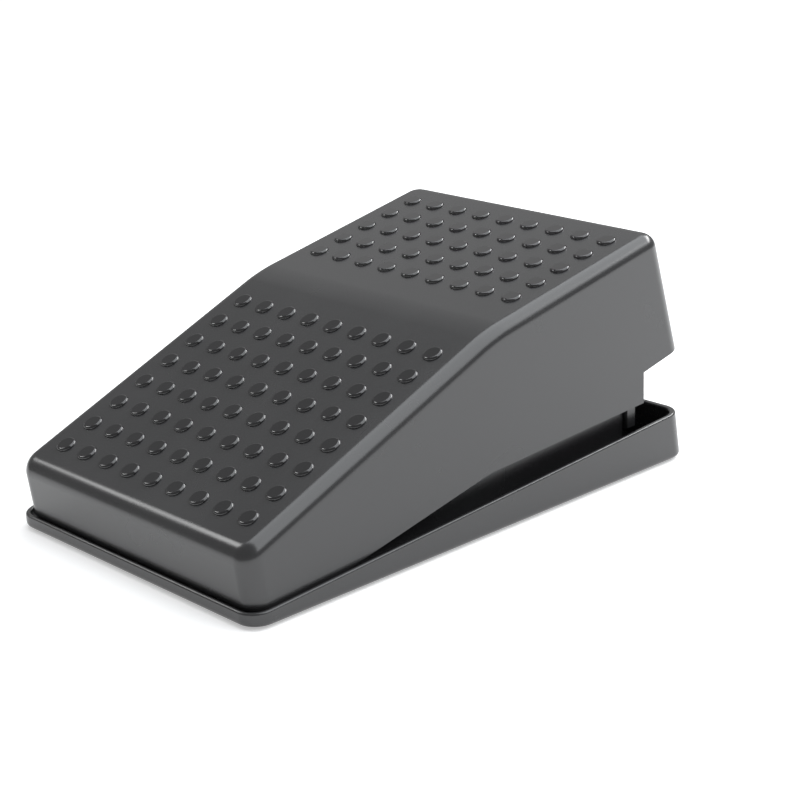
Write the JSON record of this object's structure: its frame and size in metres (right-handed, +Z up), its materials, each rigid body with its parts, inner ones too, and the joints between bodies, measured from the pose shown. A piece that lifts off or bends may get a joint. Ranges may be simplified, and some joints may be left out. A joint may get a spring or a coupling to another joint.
{
  "type": "usb foot switch",
  "caption": "Foot switch: hollow black wedge pedal with round grip studs, hinged at its low end over a shallow tray, with a return spring and a lever switch inside.",
  "frame": {"origin": "on the ground, under the middle of the tray, at the bottom of the rubber feet", "axes": "+X to the right seen from the low hinge end, +Y from the low hinge end to the tall end, +Z up"},
  "size_m": [0.063, 0.1, 0.042],
  "materials": {
    "black_abs": "fine matt moulded ABS, slightly silky",
    "foot_rubber": "dull black rubber",
    "grommet_rubber": "dull black rubber",
    "pin_steel": "bright drawn steel",
    "spring_steel": "zinc-plated spring wire",
    "board_green": "green solder mask on glass epoxy",
    "screw_steel": "nickel-plated steel",
    "switch_case": "black phenolic moulding",
    "switch_button": "red acetal",
    "switch_steel": "stainless strip",
    "terminal_metal": "silver-plated brass",
    "chip_black": "black epoxy moulding",
    "tinned_leads": "tinned copper alloy",
    "crystal_can": "nickel-plated can",
    "ceramic_tan": "tan ceramic with tinned ends",
    "resistor_black": "black glaze with tinned ends",
    "capacitor_sleeve": "dark sleeve on an aluminium can",
    "header_nylon": "natural nylon"
  },
  "bodies": {
    "root": {"base_tray": "black_abs", "cable_grommet": "grommet_rubber", "rubber_foot_1": "foot_rubber", "rubber_foot_2": "foot_rubber", "rubber_foot_3": "foot_rubber", "rubber_foot_4": "foot_rubber", "hinge_pin": "pin_steel", "pin_retaining_rings": "spring_steel", "return_spring": "spring_steel", "circuit_board": "board_green", "board_screws": "screw_steel", "switch_body": "switch_case", "switch_terminals": "terminal_metal", "lever_pin": "switch_steel", "controller_chip": "chip_black", "chip_leads": "tinned_leads", "crystal": "crystal_can", "ceramic_capacitors": "ceramic_tan", "resistors": "resistor_black", "electrolytic_capacitor": "capacitor_sleeve", "cable_header": "header_nylon", "header_pins": "terminal_metal"},
    "pedal": {"pedal_cover": "black_abs"},
    "lever": {"switch_lever": "switch_steel"},
    "plunger": {"switch_plunger": "switch_button"}
  },
  "joints": [
    {"name": "pedal_pivot", "type": "hinge", "parent": "root", "child": "pedal", "pos_m": [0, -0.04, 0.0056], "axis": [1, 0, 0], "range_deg": [-4, 0], "stiffness_Nm_per_rad": 4, "springref_deg": 4.58, "deforming": ["return_spring"]},
    {"name": "lever_pivot", "type": "hinge", "parent": "root", "child": "lever", "pos_m": [0.0131, -0.008, 0.01755], "axis": [0, 1, 0], "range_deg": [-8.6, 0]},
    {"name": "plunger_slide", "type": "slide", "parent": "root", "child": "plunger", "axis": [0, 0, 1], "range_m": [-0.00056, 0]}
  ],
  "couplings": [
    {"joint": "lever_pivot", "follows": "pedal_pivot", "ratio": 2.1},
    {"joint": "plunger_slide", "follows": "pedal_pivot", "m_per_rad": 0.00788}
  ]
}
